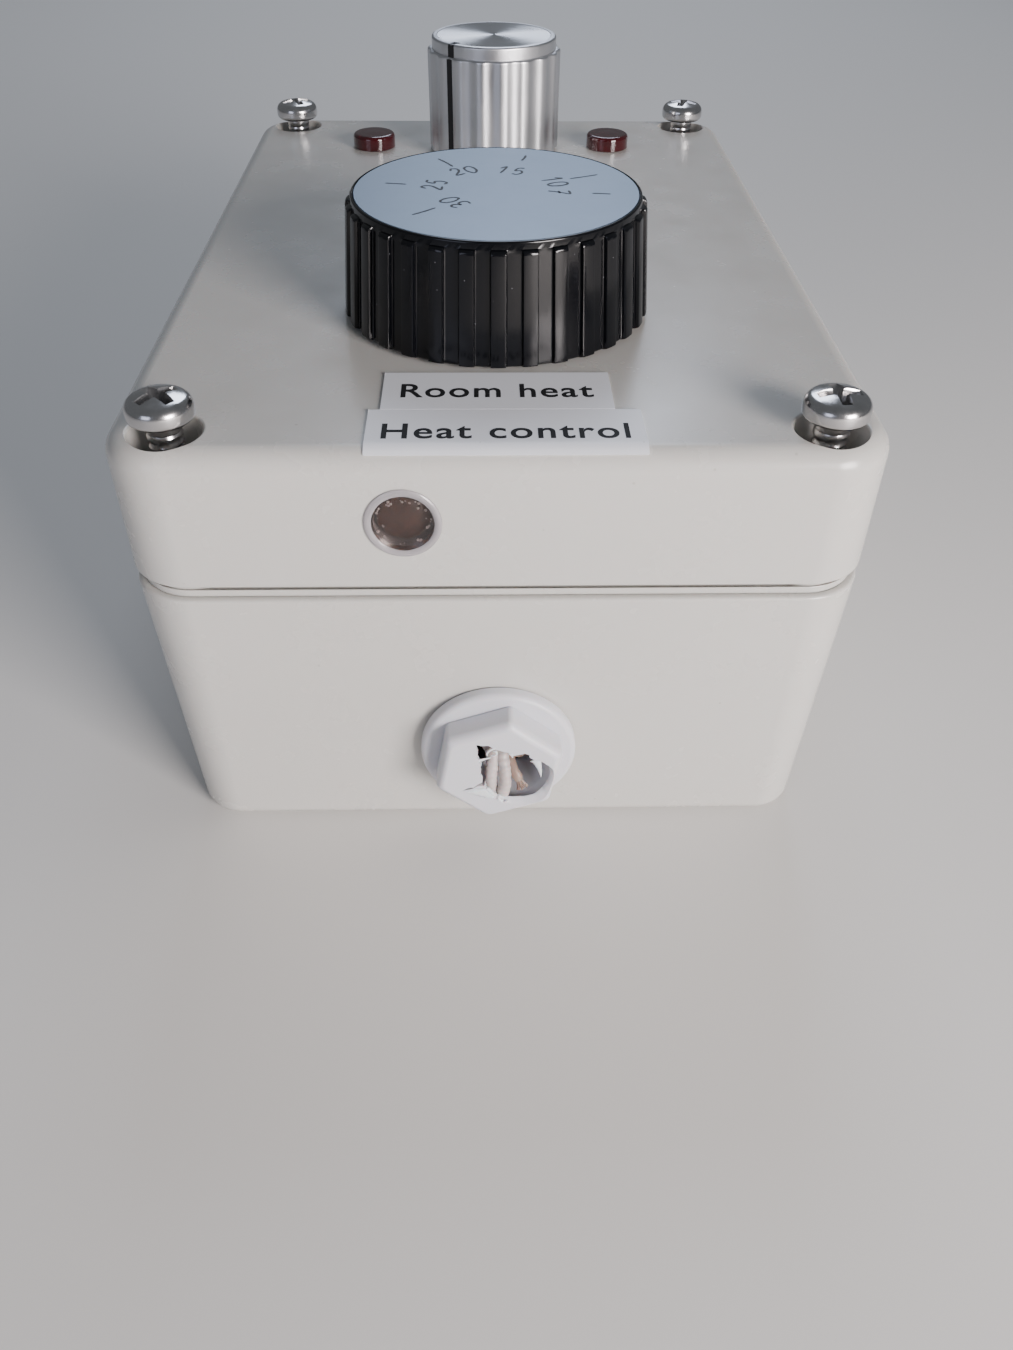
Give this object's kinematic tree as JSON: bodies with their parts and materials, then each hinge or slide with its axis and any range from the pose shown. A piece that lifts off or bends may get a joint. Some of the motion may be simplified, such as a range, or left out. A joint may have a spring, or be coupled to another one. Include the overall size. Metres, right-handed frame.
{
  "type": "room thermostat",
  "caption": "Room thermostat in a lidded plastic box with a ribbed temperature dial, a small turned knob, red lamps, an end-wall sensor and a cable gland.",
  "frame": {"origin": "centre of the box's flat back face", "axes": "+Z out through the lid, +Y along the box away from the end wall that holds the sensor and the cable gland, +X to the right when that end faces the viewer"},
  "size_m": [0.082, 0.1268, 0.072],
  "materials": {
    "box_plastic": "moulded gloss",
    "gland_plastic": "moulded satin",
    "seal_rubber": "matte",
    "knob_black": "moulded gloss",
    "scale_aluminium": "satin anodised",
    "knob_aluminium": "turned and bright anodised",
    "tape_white": "satin tape",
    "lens_red": "polished",
    "clear_plastic": "polished clear",
    "sensor_brown": "lacquered",
    "wire_white": "satin insulation",
    "wire_tan": "satin insulation",
    "screw_nickel": "nickel plated",
    "pot_steel": "plated sheet",
    "brass": "machined",
    "board_laminate": "phenolic laminate",
    "relay_blue": "moulded",
    "terminal_green": "moulded",
    "component_black": "moulded",
    "resistor_tan": "lacquered"
  },
  "bodies": {
    "base": {"base_shell": "box_plastic", "gland_body": "gland_plastic", "gland_cap": "gland_plastic", "gland_locknut": "gland_plastic", "gland_seal": "seal_rubber", "wire_core_left": "wire_white", "wire_core_middle": "wire_white", "wire_core_right": "wire_tan"},
    "lid": {"lid_shell": "box_plastic", "lid_gasket": "seal_rubber", "lamp_lens_left": "lens_red", "lamp_lens_right": "lens_red", "led_left": "lens_red", "led_right": "lens_red", "label_upper": "tape_white", "label_lower": "tape_white", "sensor_ring": "clear_plastic", "sensor_window": "clear_plastic", "sensor_bead": "sensor_brown", "circuit_board": "board_laminate", "terminal_block": "terminal_green", "relay": "relay_blue", "trimmer": "relay_blue", "capacitor_large": "component_black", "capacitor_small": "component_black", "comparator_chip": "component_black", "voltage_regulator": "component_black", "driver_transistor": "component_black", "flyback_diode": "component_black", "rectifier_diode": "component_black", "dial_pot_can": "pot_steel", "dial_pot_bush": "brass", "dial_pot_washer": "screw_nickel", "dial_pot_nut": "screw_nickel", "knob_pot_can": "pot_steel", "knob_pot_bush": "brass", "knob_pot_washer": "screw_nickel", "knob_pot_nut": "screw_nickel", "terminal_screw_1": "screw_nickel", "terminal_screw_2": "screw_nickel", "terminal_screw_3": "screw_nickel", "resistor_1": "resistor_tan", "resistor_2": "resistor_tan", "resistor_3": "resistor_tan", "resistor_4": "resistor_tan"},
    "temperature_dial": {"dial_body": "knob_black", "dial_scale_disc": "scale_aluminium", "dial_insert": "brass", "dial_grub_screw": "pot_steel", "dial_shaft": "scale_aluminium"},
    "level_knob": {"knob_shell": "knob_aluminium", "knob_core": "component_black", "knob_grub_screw": "pot_steel", "knob_shaft": "scale_aluminium"},
    "lid_screw_front_left": {"lid_screw_front_left": "screw_nickel"},
    "lid_screw_front_right": {"lid_screw_front_right": "screw_nickel"},
    "lid_screw_back_left": {"lid_screw_back_left": "screw_nickel"},
    "lid_screw_back_right": {"lid_screw_back_right": "screw_nickel"}
  },
  "joints": [
    {"name": "lid_lift", "type": "slide", "parent": "base", "child": "lid", "axis": [0, 0, 1], "range_m": [0, 0.035], "deforming": ["wire_core_left", "wire_core_middle", "wire_core_right"]},
    {"name": "dial_turn", "type": "hinge", "parent": "lid", "child": "temperature_dial", "pos_m": [0, -0.0243, 0.0622], "axis": [0, 0, 1], "range_deg": [-150, 120]},
    {"name": "knob_turn", "type": "hinge", "parent": "lid", "child": "level_knob", "pos_m": [0.0005, 0.0423, 0.062], "axis": [0, 0, 1], "range_deg": [-270, 0]},
    {"name": "lid_screw_front_left_drive", "type": "slide", "parent": "lid", "child": "lid_screw_front_left", "axis": [0, 0, 1], "range_m": [-0.01, 0]},
    {"name": "lid_screw_front_right_drive", "type": "slide", "parent": "lid", "child": "lid_screw_front_right", "axis": [0, 0, 1], "range_m": [-0.01, 0]},
    {"name": "lid_screw_back_left_drive", "type": "slide", "parent": "lid", "child": "lid_screw_back_left", "axis": [0, 0, 1], "range_m": [-0.01, 0]},
    {"name": "lid_screw_back_right_drive", "type": "slide", "parent": "lid", "child": "lid_screw_back_right", "axis": [0, 0, 1], "range_m": [-0.01, 0]}
  ]
}
